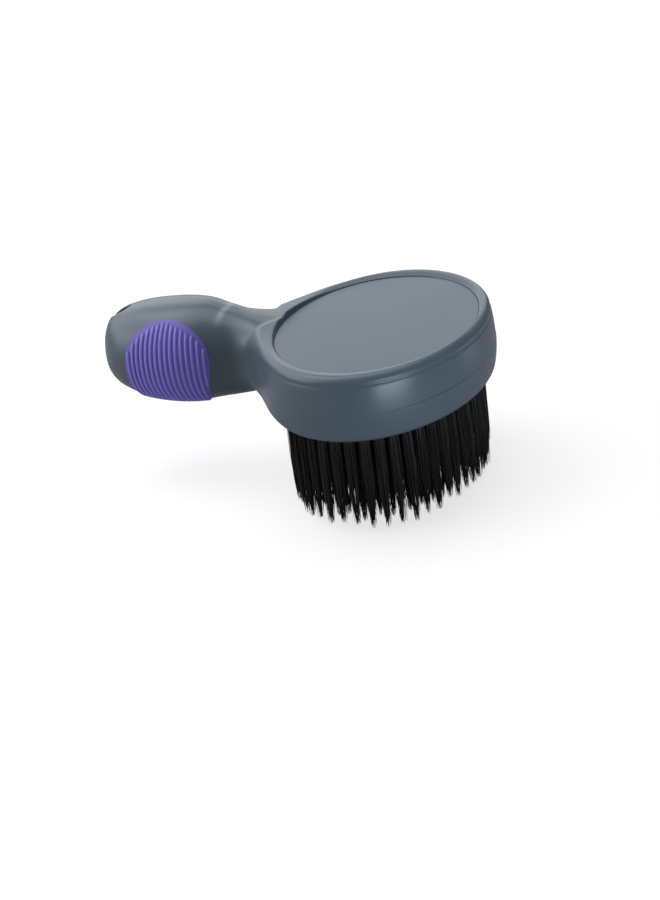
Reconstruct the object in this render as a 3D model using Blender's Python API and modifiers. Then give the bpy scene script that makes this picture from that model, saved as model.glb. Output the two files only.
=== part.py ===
"""Grooming brush: two-part shell, back panel, wrap-under grip, tuft block and fused tuft strips.

Units are metres, +Z is up.  X runs from the handle's end to the front of the head.  The origin is
below the middle of the brush, on the plane that the bristle tips touch.
"""
import math
import random

import bmesh
import bpy
import numpy as np
from mathutils import Matrix, Vector
from mathutils.bvhtree import BVHTree

MM = 0.001
GAP = 0.3 * MM
MERGE = 0.05 * MM
BEYOND = 40 * MM
SHARP_ANGLE = math.radians(35)

# Head, seen from above: an oval, wider across the handle than along it
HEAD_X = 33.9 * MM
HEAD_HALF_LENGTH = 38.5 * MM
HEAD_HALF_WIDTH = 51.5 * MM
WALL_BULGE = 1.5 * MM
JOIN_ANGLE = math.radians(130)
HEAD_STEPS = 14
CAVITY_STEPS = 10
HEAD_ROUND = 2.6 * MM
LIP_ROUND = 2.0 * MM
SMALLEST_ROUND = 0.4 * MM

# Heights above the bristle tips
CREST_Z = 60.0 * MM
SEAM_Z = 46.5 * MM
LIP_Z = 36.0 * MM

# Shell wall, the recess for the back panel, and the ledge under the tuft block
SHELL_WALL = 2.2 * MM
RECESS_HALF_LENGTH = 35.3 * MM
RECESS_HALF_WIDTH = 44.8 * MM
RECESS_DEPTH = 4.2 * MM
PANEL_THICKNESS = 2.6 * MM
PANEL_EDGE = 0.7 * MM
LEDGE_INSET = 4.3 * MM
OVAL_SIDES = 48

# Handle and neck.  Each row is a station, in millimetres: distance behind the head's centre,
# half width, and the top and bottom measured up from the crest of the rim.
HANDLE_STATIONS = (
    (107.8, 0.0, -14.0, -14.0),
    (107.0, 5.8, -6.4, -19.0),
    (104.7, 11.2, -0.1, -23.0),
    (99.6, 16.2, 2.8, -26.4),
    (92.0, 19.6, 4.7, -28.9),
    (83.5, 21.0, 5.7, -30.3),
    (74.5, 20.7, 6.2, -30.9),
    (66.0, 18.4, 5.8, -30.6),
    (58.5, 15.3, 3.7, -29.5),
    (51.5, 13.4, 1.9, -28.2),
    (45.5, 14.6, 1.1, -26.9),
    (40.8, 18.9, 0.6, -25.7),
    (35.8, 25.6, 0.2, -24.7),
    (30.4, 33.0, 0.0, -24.2),
    (24.8, 39.4, 0.0, -24.0),
)
STATION_SPLITS = 2
SPINE_START = -105.8 * MM
NECK_START = -56.0 * MM
NECK_END = -45.0 * MM
SPINE_END = -37.5 * MM
BLEND_START = -66.0 * MM
BLEND_LENGTH = 36.0 * MM
BULGE_START = -40.0 * MM
BULGE_LENGTH = 15.0 * MM
HANDLE_ROUND = 0.88
HANDLE_POWER = 2.15
ROUND_STEPS = 5

# Hang hole through the handle's end
HOLE_X = HEAD_X - 101.0 * MM
HOLE_RADIUS = 3.8 * MM
HOLE_BOSS = 1.9 * MM
HOLE_SIDES = 24
BOSS_SINK = 1.1 * MM

# Grip that wraps under the handle and climbs both flanks
GRIP_X = HEAD_X - 76.3 * MM
GRIP_Z = 49.2 * MM
GRIP_HALF_LENGTH = 16.2 * MM
GRIP_RISE = 14.1 * MM
GRIP_FOOT_BACK = 20.5 * MM
GRIP_FOOT_FRONT = 5.5 * MM
GRIP_PROUD = 0.6 * MM
GRIP_SINK = 0.8 * MM
GRIP_STEPS = 20
SEAT_REACH = 3.0 * MM

# Tuft block and tufts
BLOCK_INSET = 2.9 * MM
BLOCK_UNDER_Z = LIP_Z + SHELL_WALL + GAP
BLOCK_THICKNESS = 6.0 * MM
RING_COUNT = 6
STRIP_TUFTS = 8
FIELD_HALF_LENGTH = 32.0 * MM
FIELD_HALF_WIDTH = 45.0 * MM
RING_STEP = 0.16
RING_SAMPLES = 2000
CENTRE_HALF_PITCH = 2.7 * MM
TUFT_ROOT_RADIUS = 1.35 * MM
TUFT_HOLE_RADIUS = 1.85 * MM
TUFT_BODY_RADIUS = 1.8 * MM
TUFT_TIP_RADIUS = 0.5 * MM
TUFT_SIDES = 5
TUFT_TAPER_Z = 11.0 * MM
TIP_SCATTER = 2.2 * MM
BAND_WIDTH = 2.2 * MM
BAND_THICKNESS = 1.3 * MM
BAND_OVERRUN = 1.5 * MM
SEED = 11

COLOURS = {
    "shell": ((0.125, 0.150, 0.165, 1), 0.42),
    "panel": ((0.150, 0.178, 0.192, 1), 0.45),
    "grip": ((0.235, 0.150, 0.560, 1), 0.60),
    "block": ((0.030, 0.032, 0.036, 1), 0.55),
    "bristle": ((0.008, 0.008, 0.009, 1), 0.50),
}


def clear_scene():
    for obj in list(bpy.data.objects):
        bpy.data.objects.remove(obj, do_unlink=True)


def make_collection(name):
    collection = bpy.data.collections.new(name)
    bpy.context.scene.collection.children.link(collection)
    return collection


def make_material(name, look):
    colour, roughness = COLOURS[look]
    material = bpy.data.materials.new(name)
    material.use_nodes = True
    shader = material.node_tree.nodes["Principled BSDF"]
    shader.inputs["Base Color"].default_value = colour
    shader.inputs["Roughness"].default_value = roughness
    shader.inputs["Metallic"].default_value = 0.0
    material.diffuse_color = colour
    return material


def add_part(name, bm, look):
    """A named sub-part in the brush's collection, shaded smooth, with its own material."""
    mesh = bpy.data.meshes.new(name)
    bm.to_mesh(mesh)
    bm.free()
    mesh.materials.append(make_material(name, look))
    mesh.shade_smooth()
    mesh.set_sharp_from_angle(angle=SHARP_ANGLE)
    obj = bpy.data.objects.new(name, mesh)
    brush.objects.link(obj)
    return obj


def add_cutter(name, bm):
    mesh = bpy.data.meshes.new(name)
    bm.to_mesh(mesh)
    bm.free()
    obj = bpy.data.objects.new(name, mesh)
    obj.hide_render = True
    obj.display_type = "WIRE"
    cutters.objects.link(obj)
    return obj


def boolean(obj, operation, other):
    modifier = obj.modifiers.new(f"{operation.title()} {other.name}", "BOOLEAN")
    modifier.operation = operation
    modifier.solver = "EXACT"
    modifier.object = other


def ease(value):
    value = min(max(value, 0.0), 1.0)
    return value * value * (3 - 2 * value)


def prism(outline, low, high):
    """Closed upright prism over a flat outline of (x, y) points."""
    bm = bmesh.new()
    face = bm.faces.new([bm.verts.new((x, y, low)) for x, y in outline])
    raised = bmesh.ops.extrude_face_region(bm, geom=[face])
    top = [item for item in raised["geom"] if isinstance(item, bmesh.types.BMVert)]
    bmesh.ops.translate(bm, verts=top, vec=(0, 0, high - low))
    bmesh.ops.recalc_face_normals(bm, faces=bm.faces)
    return bm


def oval(half_length, half_width, angle):
    return half_length * math.cos(angle), half_width * math.sin(angle)


def head_oval(half_length, half_width, sides=OVAL_SIDES):
    turns = [2 * math.pi * k / sides for k in range(sides)]
    ring = [oval(half_length, half_width, turn) for turn in turns]
    return [(HEAD_X + x, y) for x, y in ring]


def handle_curve(splits):
    """Catmull-Rom curve through the stations, from the handle's tip to where the head's oval starts."""
    rows = np.array([(-x, w, t, b) for x, w, t, b in HANDLE_STATIONS]) * MM
    mirrored = 2 * rows[0] - rows[1]
    mirrored[0] = rows[1][0]
    padded = np.vstack([mirrored, rows, 2 * rows[-1] - rows[-2]])
    curve = []
    for p0, p1, p2, p3 in zip(padded, padded[1:], padded[2:], padded[3:]):
        for k in range(splits):
            t = k / splits
            curve.append(0.5 * (2 * p1 + (p2 - p0) * t + (2 * p0 - 5 * p1 + 4 * p2 - p3) * t ** 2
                                + (3 * p1 - p0 - 3 * p2 + p3) * t ** 3))
    curve.append(rows[-1])
    return np.array(curve)


def spine_place(x):
    """Point of the spine that a side point at x leans towards: held back at the tip, run on at the neck."""
    if x > NECK_START:
        share = min((x - NECK_START) / (NECK_END - NECK_START), 1.0)
        return NECK_START + (SPINE_END - NECK_START) * share
    return max(x, SPINE_START)


def body_columns(side, wall):
    """Columns round half the plan outline, each with an outer point, an inner point and its levels.

    A wall above zero gives the cavity: the outline, drawn in by the wall, and its ceiling or floor.
    """
    sign = 1 if side == "top" else -1
    curve = handle_curve(1 if wall else STATION_SPLITS)
    head_steps = CAVITY_STEPS if wall else HEAD_STEPS
    along = curve[:, 0]
    levels = curve[:, 2] if side == "top" else curve[:, 3]
    levels = CREST_Z + levels - sign * wall
    head_level = (CREST_Z if side == "top" else LIP_Z) - sign * wall
    if wall and side == "top":
        head_level = CREST_Z - RECESS_DEPTH - wall
    inner_size = (RECESS_HALF_LENGTH - 2 * wall, RECESS_HALF_WIDTH - 2 * wall)
    flare = [i for i, x in enumerate(along) if x > NECK_END]
    edge = max((HEAD_ROUND if side == "top" else LIP_ROUND) - wall, SMALLEST_ROUND)
    columns = []
    for i, (x, width) in enumerate(curve[:, :2]):
        inner = Vector((spine_place(x), 0.0))
        level = np.interp(inner.x, along, levels)
        if i in flare:
            share = (i - flare[0] + 1) / len(flare)
            inner = Vector(oval(*inner_size, math.pi + (JOIN_ANGLE - math.pi) * share))
            level = levels[i] + (head_level - levels[i]) * ease(share)
        blend = ease((x - BLEND_START) / BLEND_LENGTH)
        outer = Vector((x, width))
        outer += (inner - outer).normalized() * wall
        full = abs(level - SEAM_Z)
        columns.append({
            "outer": outer, "inner": inner, "level": level,
            "across": HANDLE_ROUND * (inner - outer).length * (1 - blend) + edge * blend,
            "rise": full * (1 - blend) + edge * blend,
            "power": HANDLE_POWER * (1 - blend) + 2 * blend,
            "bulge": WALL_BULGE * ease((x - BULGE_START) / BULGE_LENGTH),
        })
    for k in range(1, head_steps + 1):
        angle = JOIN_ANGLE * (1 - k / head_steps)
        inner = Vector(oval(*inner_size, angle))
        outer = Vector(oval(HEAD_HALF_LENGTH - wall, HEAD_HALF_WIDTH - wall, angle))
        columns.append({"outer": outer, "inner": inner, "level": head_level, "across": edge,
                        "rise": edge, "power": 2, "bulge": WALL_BULGE})
    return columns


def column_points(column, side, seam):
    """Up (or down) the wall from the seam, round the edge and across to the inner point."""
    sign = 1 if side == "top" else -1
    outer, inner = column["outer"], column["inner"]
    inward = (inner - outer).normalized()
    power = 2 / column["power"]
    shoulder = column["level"] - sign * column["rise"]
    steps = [(0.0, seam), (0.0, (seam + shoulder) / 2)]
    if sign * (shoulder - seam) < 2 * GAP:
        steps = [(0.0, seam)]
        shoulder = seam
    rise = abs(column["level"] - shoulder)
    first = 1 if len(steps) == 1 else 0
    for k in range(first, ROUND_STEPS + 1):
        turn = math.pi / 2 * k / ROUND_STEPS
        inset = column["across"] * (1 - max(math.cos(turn), 0.0) ** power)
        steps.append((inset, shoulder + sign * rise * math.sin(turn) ** power))
    span = abs(column["level"] - seam)
    points = []
    for inset, z in steps:
        swell = column["bulge"] * max(0.0, 1 - ((z - seam) / span) ** 2)
        place = outer + inward * (inset - swell)
        points.append(Vector((HEAD_X + place.x, place.y, z)))
    while len(points) < ROUND_STEPS + 3:
        points.insert(1, (points[0] + points[1]) / 2)
    points.append(Vector((HEAD_X + inner.x, inner.y, column["level"])))
    return points


def body_grid(bm, side, seam, wall):
    half = [column_points(column, side, seam) for column in body_columns(side, wall)]
    mirrored = [[Vector((p.x, -p.y, p.z)) for p in points] for points in half[-2:0:-1]]
    grid = [[bm.verts.new(p) for p in points] for points in half + mirrored]
    for points, following in zip(grid, grid[1:] + grid[:1]):
        for j in range(len(points) - 1):
            bm.faces.new((points[j], following[j], following[j + 1], points[j + 1]))


def close_body(bm):
    """Merges the two sides along the spine, fills the head's oval and the seam, faces outwards."""
    bmesh.ops.remove_doubles(bm, verts=bm.verts, dist=MERGE)
    bmesh.ops.dissolve_degenerate(bm, edges=bm.edges, dist=MERGE)
    bmesh.ops.holes_fill(bm, edges=[e for e in bm.edges if e.is_boundary], sides=0)
    bmesh.ops.recalc_face_normals(bm, faces=bm.faces)
    return bm


def half_body(side, wall=0.0):
    """Closed solid of the brush body above or below the seam, or of the cavity inside it."""
    seam = SEAM_Z + (GAP / 2 if side == "top" else -GAP / 2)
    if wall:
        seam = SEAM_Z - (GAP if side == "top" else -GAP)
    bm = bmesh.new()
    body_grid(bm, side, seam, wall)
    return close_body(bm)


def whole_body(offset):
    """Closed solid of the whole outer form, grown or shrunk along its normals."""
    bm = bmesh.new()
    body_grid(bm, "top", SEAM_Z, 0.0)
    body_grid(bm, "bottom", SEAM_Z, 0.0)
    close_body(bm)
    bm.normal_update()
    moves = [(vert, vert.normal * offset) for vert in bm.verts]
    for vert, move in moves:
        vert.co += move
    return bm


def hole_boss(side, outer_form):
    """Tube wall round the hang hole, from the seam into the shell wall above or below."""
    sign = 1 if side == "top" else -1
    tree = BVHTree.FromBMesh(outer_form)
    seam = SEAM_Z + sign * GAP / 2
    bm = bmesh.new()
    bmesh.ops.create_cone(bm, cap_ends=True, segments=HOLE_SIDES, radius1=HOLE_RADIUS + HOLE_BOSS,
                          radius2=HOLE_RADIUS + HOLE_BOSS, depth=2 * MM)
    bmesh.ops.translate(bm, verts=bm.verts, vec=(HOLE_X, 0, seam))
    for vert in bm.verts:
        if sign * (vert.co.z - seam) < 0:
            vert.co.z = seam
            continue
        start = Vector((vert.co.x, vert.co.y, seam + sign * BEYOND))
        hit = tree.ray_cast(start, Vector((0, 0, -sign)))[0]
        vert.co.z = hit.z - sign * BOSS_SINK
    return bm


def grip_outline(margin):
    """Side view of the grip: an arch over a slanted foot that runs out below the handle."""
    turns = [math.pi * k / GRIP_STEPS for k in range(GRIP_STEPS + 1)]
    arch = [oval(GRIP_HALF_LENGTH + margin, GRIP_RISE + margin, turn) for turn in turns]
    foot = [(-GRIP_FOOT_BACK - margin, -BEYOND), (GRIP_FOOT_FRONT + margin, -BEYOND)]
    return arch + foot


def grip_block(margin):
    """The grip's outline as a block that runs right across the handle."""
    bm = prism(grip_outline(margin), -BEYOND, BEYOND)
    upright = Matrix.Rotation(math.radians(90), 4, "X")
    bmesh.ops.transform(bm, matrix=Matrix.Translation((GRIP_X, 0, GRIP_Z)) @ upright, verts=bm.verts)
    return bm


def make_shell(name, side, grip_seat, hang_hole):
    outer_form = half_body(side)
    boss = hole_boss(side, outer_form)
    shell = add_part(name, outer_form, "shell")
    boolean(shell, "DIFFERENCE", add_cutter(name + "_cavity", half_body(side, SHELL_WALL)))
    boolean(shell, "UNION", add_cutter(name + "_boss", boss))
    boolean(shell, "DIFFERENCE", hang_hole)
    boolean(shell, "DIFFERENCE", grip_seat)
    return shell


def make_shells():
    hole = bmesh.new()
    bmesh.ops.create_cone(hole, cap_ends=True, segments=HOLE_SIDES, radius1=HOLE_RADIUS,
                          radius2=HOLE_RADIUS, depth=2 * BEYOND)
    bmesh.ops.translate(hole, verts=hole.verts, vec=(HOLE_X, 0, SEAM_Z))
    hang_hole = add_cutter("hang_hole", hole)
    grip_seat = add_cutter("grip_seat", whole_body(SEAT_REACH))
    boolean(grip_seat, "INTERSECT", add_cutter("grip_seat_block", grip_block(GAP)))
    boolean(grip_seat, "DIFFERENCE", add_cutter("grip_seat_core", whole_body(-GRIP_SINK - GAP)))

    upper = make_shell("upper_shell", "top", grip_seat, hang_hole)
    recess = prism(head_oval(RECESS_HALF_LENGTH, RECESS_HALF_WIDTH), CREST_Z - RECESS_DEPTH,
                   CREST_Z + BEYOND)
    boolean(upper, "DIFFERENCE", add_cutter("panel_recess", recess))

    lower = make_shell("lower_shell", "bottom", grip_seat, hang_hole)
    mouth = prism(head_oval(HEAD_HALF_LENGTH - LEDGE_INSET, HEAD_HALF_WIDTH - LEDGE_INSET),
                  LIP_Z - BEYOND, LIP_Z + 2 * SHELL_WALL)
    boolean(lower, "DIFFERENCE", add_cutter("tuft_mouth", mouth))


def make_grip():
    grip = add_part("grip_saddle", whole_body(GRIP_PROUD), "grip")
    boolean(grip, "INTERSECT", add_cutter("grip_block", grip_block(0.0)))
    boolean(grip, "DIFFERENCE", add_cutter("grip_core", whole_body(-GRIP_SINK)))


def make_back_panel():
    floor = CREST_Z - RECESS_DEPTH + GAP
    bm = prism(head_oval(RECESS_HALF_LENGTH - GAP, RECESS_HALF_WIDTH - GAP), floor,
               floor + PANEL_THICKNESS)
    panel = add_part("back_panel", bm, "panel")
    bevel = panel.modifiers.new("Edge", "BEVEL")
    bevel.width = PANEL_EDGE
    bevel.segments = 2
    bevel.limit_method = "ANGLE"


def ring_places(fraction, count):
    """Angles of tufts spaced evenly along one oval ring, with the ring's length."""
    fine = np.linspace(0, 2 * math.pi, RING_SAMPLES + 1)
    x, y = fraction * FIELD_HALF_LENGTH * np.cos(fine), fraction * FIELD_HALF_WIDTH * np.sin(fine)
    run = np.concatenate([[0], np.cumsum(np.hypot(np.diff(x), np.diff(y)))])
    wanted = (np.arange(count) + 0.5) / count * run[-1]
    return list(np.interp(wanted, run, fine)), run[-1]


def tuft(bm, x, y, tip_z):
    """One tuft, drawn down from its root in the band to its tip."""
    root_z = BLOCK_UNDER_Z + BLOCK_THICKNESS + GAP + BAND_THICKNESS / 2
    bottom = bmesh.ops.create_cone(bm, cap_ends=True, segments=TUFT_SIDES, radius1=TUFT_BODY_RADIUS,
                                   radius2=TUFT_ROOT_RADIUS, depth=root_z - TUFT_TAPER_Z)["verts"]
    bmesh.ops.translate(bm, verts=bottom, vec=(x, y, (root_z + TUFT_TAPER_Z) / 2))
    end = min({f for v in bottom for f in v.link_faces}, key=lambda f: f.calc_center_median().z)
    end = bmesh.ops.extrude_discrete_faces(bm, faces=[end])["faces"][0]
    shrink = TUFT_TIP_RADIUS / TUFT_BODY_RADIUS
    bmesh.ops.scale(bm, verts=end.verts, vec=(shrink, shrink, 1), space=Matrix.Translation((-x, -y, 0)))
    bmesh.ops.translate(bm, verts=end.verts, vec=(0, 0, tip_z - TUFT_TAPER_Z))


def band(fraction, angles, overrun):
    """Root band over a run of tufts, as a prism along the oval."""
    turns = np.linspace(angles[0] - overrun, angles[-1] + overrun, 2 * len(angles) + 1)
    half = BAND_WIDTH / 2
    sizes = [(fraction * FIELD_HALF_LENGTH + s, fraction * FIELD_HALF_WIDTH + s) for s in (half, -half)]
    outline = [oval(*sizes[0], turn) for turn in turns] + [oval(*sizes[1], turn) for turn in turns[::-1]]
    low = BLOCK_UNDER_Z + BLOCK_THICKNESS + GAP
    return prism([(HEAD_X + x, y) for x, y in outline], low, low + BAND_THICKNESS)


def add_strip(name, outline_band, places, holes, chance):
    """A strip of tufts fused to its band, with a hole for each tuft added to the block's cutter."""
    tufts = bmesh.new()
    for k, (x, y) in enumerate(places):
        tuft(tufts, HEAD_X + x, y, TIP_SCATTER * chance.random() ** 2 if k else 0.0)
        made = bmesh.ops.create_cone(holes, cap_ends=True, segments=TUFT_SIDES,
                                     radius1=TUFT_HOLE_RADIUS, radius2=TUFT_HOLE_RADIUS, depth=BEYOND)
        bmesh.ops.translate(holes, verts=made["verts"], vec=(HEAD_X + x, y, BLOCK_UNDER_Z))
    bmesh.ops.recalc_face_normals(tufts, faces=tufts.faces)
    strip = add_part(name, outline_band, "bristle")
    boolean(strip, "UNION", add_cutter(name + "_tufts", tufts))


def make_tufts():
    """Tuft strips ring by ring from the outside in, and the block whose holes they pass through."""
    chance = random.Random(SEED)
    block = add_part("tuft_block", prism(
        head_oval(HEAD_HALF_LENGTH - BLOCK_INSET, HEAD_HALF_WIDTH - BLOCK_INSET),
        BLOCK_UNDER_Z, BLOCK_UNDER_Z + BLOCK_THICKNESS), "block")
    holes = bmesh.new()
    for ring in range(RING_COUNT):
        fraction = 1 - RING_STEP * ring
        strips = RING_COUNT - ring
        angles, length = ring_places(fraction, strips * STRIP_TUFTS)
        for strip in range(strips):
            run = angles[strip * STRIP_TUFTS:(strip + 1) * STRIP_TUFTS]
            places = [oval(fraction * FIELD_HALF_LENGTH, fraction * FIELD_HALF_WIDTH, a) for a in run]
            overrun = BAND_OVERRUN * 2 * math.pi / length
            add_strip(f"tuft_strip_{ring + 1}{'abcdef'[strip]}", band(fraction, run, overrun),
                      places, holes, chance)
    reach = CENTRE_HALF_PITCH + BAND_OVERRUN
    half = BAND_WIDTH / 2
    low = BLOCK_UNDER_Z + BLOCK_THICKNESS + GAP
    bar = [(HEAD_X + x, y) for x, y in ((-half, -reach), (half, -reach), (half, reach), (-half, reach))]
    centre = [(0.0, -CENTRE_HALF_PITCH), (0.0, CENTRE_HALF_PITCH)]
    add_strip("tuft_strip_7a", prism(bar, low, low + BAND_THICKNESS), centre, holes, chance)
    boolean(block, "DIFFERENCE", add_cutter("tuft_holes", holes))


clear_scene()
brush = make_collection("grooming_brush")
cutters = make_collection("cutters")
make_shells()
make_grip()
make_back_panel()
make_tufts()
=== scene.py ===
import math
import random

import bmesh
import bpy
import numpy as np
from mathutils import Matrix, Vector


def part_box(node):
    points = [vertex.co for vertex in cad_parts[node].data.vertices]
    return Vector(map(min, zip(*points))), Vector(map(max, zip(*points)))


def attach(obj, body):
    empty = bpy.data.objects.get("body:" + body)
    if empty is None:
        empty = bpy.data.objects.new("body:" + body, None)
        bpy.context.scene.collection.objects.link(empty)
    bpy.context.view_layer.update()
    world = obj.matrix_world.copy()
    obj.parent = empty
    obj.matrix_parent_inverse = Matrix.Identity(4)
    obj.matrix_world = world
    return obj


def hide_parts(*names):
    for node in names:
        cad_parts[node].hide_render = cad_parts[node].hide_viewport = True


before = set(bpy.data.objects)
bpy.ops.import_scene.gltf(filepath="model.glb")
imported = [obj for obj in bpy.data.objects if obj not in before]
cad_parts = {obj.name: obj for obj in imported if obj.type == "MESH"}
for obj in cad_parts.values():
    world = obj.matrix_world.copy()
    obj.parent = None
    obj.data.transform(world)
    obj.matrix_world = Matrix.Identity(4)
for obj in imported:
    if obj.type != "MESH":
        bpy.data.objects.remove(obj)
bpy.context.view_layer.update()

mm = 0.001
panelLow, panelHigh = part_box("back_panel")
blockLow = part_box("tuft_block")[0]
headX = (panelLow.x + panelHigh.x) / 2
seamZ = (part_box("upper_shell")[0].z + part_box("lower_shell")[1].z) / 2


def putNode(tree, kind, **settings):
    node = tree.nodes.new(kind)
    for name, value in settings.items():
        setattr(node, name, value)
    return node


def setInputs(node, **values):
    for name, value in values.items():
        node.inputs[name.replace("_", " ")].default_value = value
    return node


def newGroup(name, inputs, outputs):
    tree = bpy.data.node_groups.new(name, "ShaderNodeTree")
    for label, kind, value in inputs:
        socket = tree.interface.new_socket(name=label, in_out="INPUT", socket_type=kind)
        if value is not None:
            socket.default_value = value
    for label, kind in outputs:
        tree.interface.new_socket(name=label, in_out="OUTPUT", socket_type=kind)
    return tree, putNode(tree, "NodeGroupInput"), putNode(tree, "NodeGroupOutput")


def noiseNode(tree, vector, scale, detail=2.0, roughness=0.5):
    noise = putNode(tree, "ShaderNodeTexNoise")
    tree.links.new(vector, noise.inputs["Vector"])
    if isinstance(scale, (int, float)):
        noise.inputs["Scale"].default_value = scale
    else:
        tree.links.new(scale, noise.inputs["Scale"])
    noise.inputs["Detail"].default_value = detail
    noise.inputs["Roughness"].default_value = roughness
    return noise.outputs["Fac"]


def mapRange(tree, value, low, high, toLow, toHigh):
    node = putNode(tree, "ShaderNodeMapRange")
    tree.links.new(value, node.inputs["Value"])
    for label, number in (("From Min", low), ("From Max", high), ("To Min", toLow), ("To Max", toHigh)):
        if isinstance(number, (int, float)):
            node.inputs[label].default_value = number
        else:
            tree.links.new(number, node.inputs[label])
    return node.outputs["Result"]


def mathNode(tree, operation, first, second=None):
    node = putNode(tree, "ShaderNodeMath", operation=operation)
    for k, value in enumerate((first, second)):
        if value is None:
            continue
        if isinstance(value, (int, float)):
            node.inputs[k].default_value = value
        else:
            tree.links.new(value, node.inputs[k])
    return node.outputs["Value"]


def mixColour(tree, share, first, second):
    node = putNode(tree, "ShaderNodeMix", data_type="RGBA")
    tree.links.new(share, node.inputs["Factor"])
    for k, value in ((6, first), (7, second)):
        if isinstance(value, tuple):
            node.inputs[k].default_value = value
        else:
            tree.links.new(value, node.inputs[k])
    return node.outputs[2]


def makeGrainGroup():
    # fine moulded texture: a height and a slow tone that drifts over the part
    tree, given, made = newGroup("mouldGrain", [
        ("Vector", "NodeSocketVector", None), ("Grain Scale", "NodeSocketFloat", 2600.0),
        ("Drift Scale", "NodeSocketFloat", 60.0)],
        [("Height", "NodeSocketFloat"), ("Drift", "NodeSocketFloat")])
    fine = noiseNode(tree, given.outputs["Vector"], given.outputs["Grain Scale"], 3.0, 0.6)
    slow = noiseNode(tree, given.outputs["Vector"], given.outputs["Drift Scale"], 3.0, 0.55)
    tree.links.new(fine, made.inputs["Height"])
    tree.links.new(slow, made.inputs["Drift"])
    return tree


def makeWearGroup():
    # rubbed mask on raised edges, broken up by noise
    tree, given, made = newGroup("edgeRub", [
        ("Vector", "NodeSocketVector", None), ("Start", "NodeSocketFloat", 0.52),
        ("Reach", "NodeSocketFloat", 0.60)], [("Mask", "NodeSocketFloat")])
    shape = putNode(tree, "ShaderNodeNewGeometry").outputs["Pointiness"]
    edge = mapRange(tree, shape, given.outputs["Start"], given.outputs["Reach"], 0.0, 1.0)
    patch = noiseNode(tree, given.outputs["Vector"], 420.0, 4.0, 0.6)
    broken = mapRange(tree, patch, 0.35, 0.65, 0.3, 1.0)
    tree.links.new(mathNode(tree, "MULTIPLY", edge, broken), made.inputs["Mask"])
    return tree


def makeDustGroup():
    # specks and a thin film that settle on faces that look up
    tree, given, made = newGroup("dustFilm", [
        ("Vector", "NodeSocketVector", None), ("Amount", "NodeSocketFloat", 0.1)],
        [("Mask", "NodeSocketFloat")])
    up = putNode(tree, "ShaderNodeSeparateXYZ")
    tree.links.new(putNode(tree, "ShaderNodeNewGeometry").outputs["Normal"], up.inputs["Vector"])
    facing = mapRange(tree, up.outputs["Z"], 0.2, 1.0, 0.15, 1.0)
    fine = noiseNode(tree, given.outputs["Vector"], 900.0, 2.0, 0.7)
    broad = noiseNode(tree, given.outputs["Vector"], 45.0, 4.0, 0.6)
    specks = mapRange(tree, fine, 0.62, 0.74, 0.0, 1.0)
    film = mapRange(tree, broad, 0.3, 0.8, 0.2, 0.9)
    both = mathNode(tree, "MAXIMUM", specks, film)
    mask = mathNode(tree, "MULTIPLY", mathNode(tree, "MULTIPLY", both, facing), given.outputs["Amount"])
    tree.links.new(mask, made.inputs["Mask"])
    return tree


mouldGrain = makeGrainGroup()
edgeRub = makeWearGroup()
dustFilm = makeDustGroup()


def putGroup(tree, group, vector, **values):
    node = putNode(tree, "ShaderNodeGroup", node_tree=group)
    tree.links.new(vector, node.inputs["Vector"])
    return setInputs(node, **values)


def makePlastic(name, look):
    # satin moulded plastic or rubber: drifting tone, rubbed edges, dust, fine grain, and where asked a
    # painted highlight band and painted shade between ribs
    material = bpy.data.materials.new(name)
    material.use_nodes = True
    tree = material.node_tree
    shader = tree.nodes["Principled BSDF"]
    place = putNode(tree, "ShaderNodeTexCoord").outputs["Object"]
    grain = putGroup(tree, mouldGrain, place, Grain_Scale=look["grainScale"],
                     Drift_Scale=look["driftScale"])
    rub = putGroup(tree, edgeRub, place, Start=look["rubStart"], Reach=look["rubReach"])
    dust = putGroup(tree, dustFilm, place, Amount=look["dust"])
    drift = mapRange(tree, grain.outputs["Drift"], 0.3, 0.7, 0.0, 1.0)
    colour = mixColour(tree, drift, look["dark"], look["light"])
    rubbed = mathNode(tree, "MULTIPLY", rub.outputs["Mask"], look["rub"])
    colour = mixColour(tree, rubbed, colour, look["rubTone"])
    if "streak" in look:      # painted highlight: a faint light band across the handle where the neck begins, standing for the sheen on the fold there
        streak = look["streak"]
        apart = putNode(tree, "ShaderNodeSeparateXYZ")
        tree.links.new(place, apart.inputs["Vector"])
        away = mathNode(tree, "ABSOLUTE", mathNode(tree, "SUBTRACT", apart.outputs["X"], streak["middle"]))
        highlightBand = mapRange(tree, away, streak["core"], streak["fadeOut"], streak["share"], 0.0)
        high = mapRange(tree, apart.outputs["Z"], streak["startZ"], streak["fullZ"], 0.0, 1.0)
        colour = mixColour(tree, mathNode(tree, "MULTIPLY", highlightBand, high), colour, streak["tone"])
    # painted shade: darker in the hollows between the ribs, by how deep a point lies
    if "hollowShade" in look:
        deep = putNode(tree, "ShaderNodeAttribute", attribute_name="hollow").outputs["Fac"]
        colour = mixColour(tree, deep, colour, look["hollowShade"])
    colour = mixColour(tree, dust.outputs["Mask"], colour, dustLook["tone"])
    tree.links.new(colour, shader.inputs["Base Color"])
    gloss = mapRange(tree, grain.outputs["Drift"], 0.25, 0.75, look["gloss"][0], look["gloss"][1])
    dulled = mathNode(tree, "MULTIPLY", dust.outputs["Mask"], dustLook["dulling"])
    gloss = mathNode(tree, "ADD", gloss, dulled)
    tree.links.new(gloss, shader.inputs["Roughness"])
    bump = putNode(tree, "ShaderNodeBump")
    setInputs(bump, Strength=look["bump"], Distance=bumpDepth)
    tree.links.new(grain.outputs["Height"], bump.inputs["Height"])
    tree.links.new(bump.outputs["Normal"], shader.inputs["Normal"])
    shader.inputs["Specular IOR Level"].default_value = look["specular"]
    return material


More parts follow.
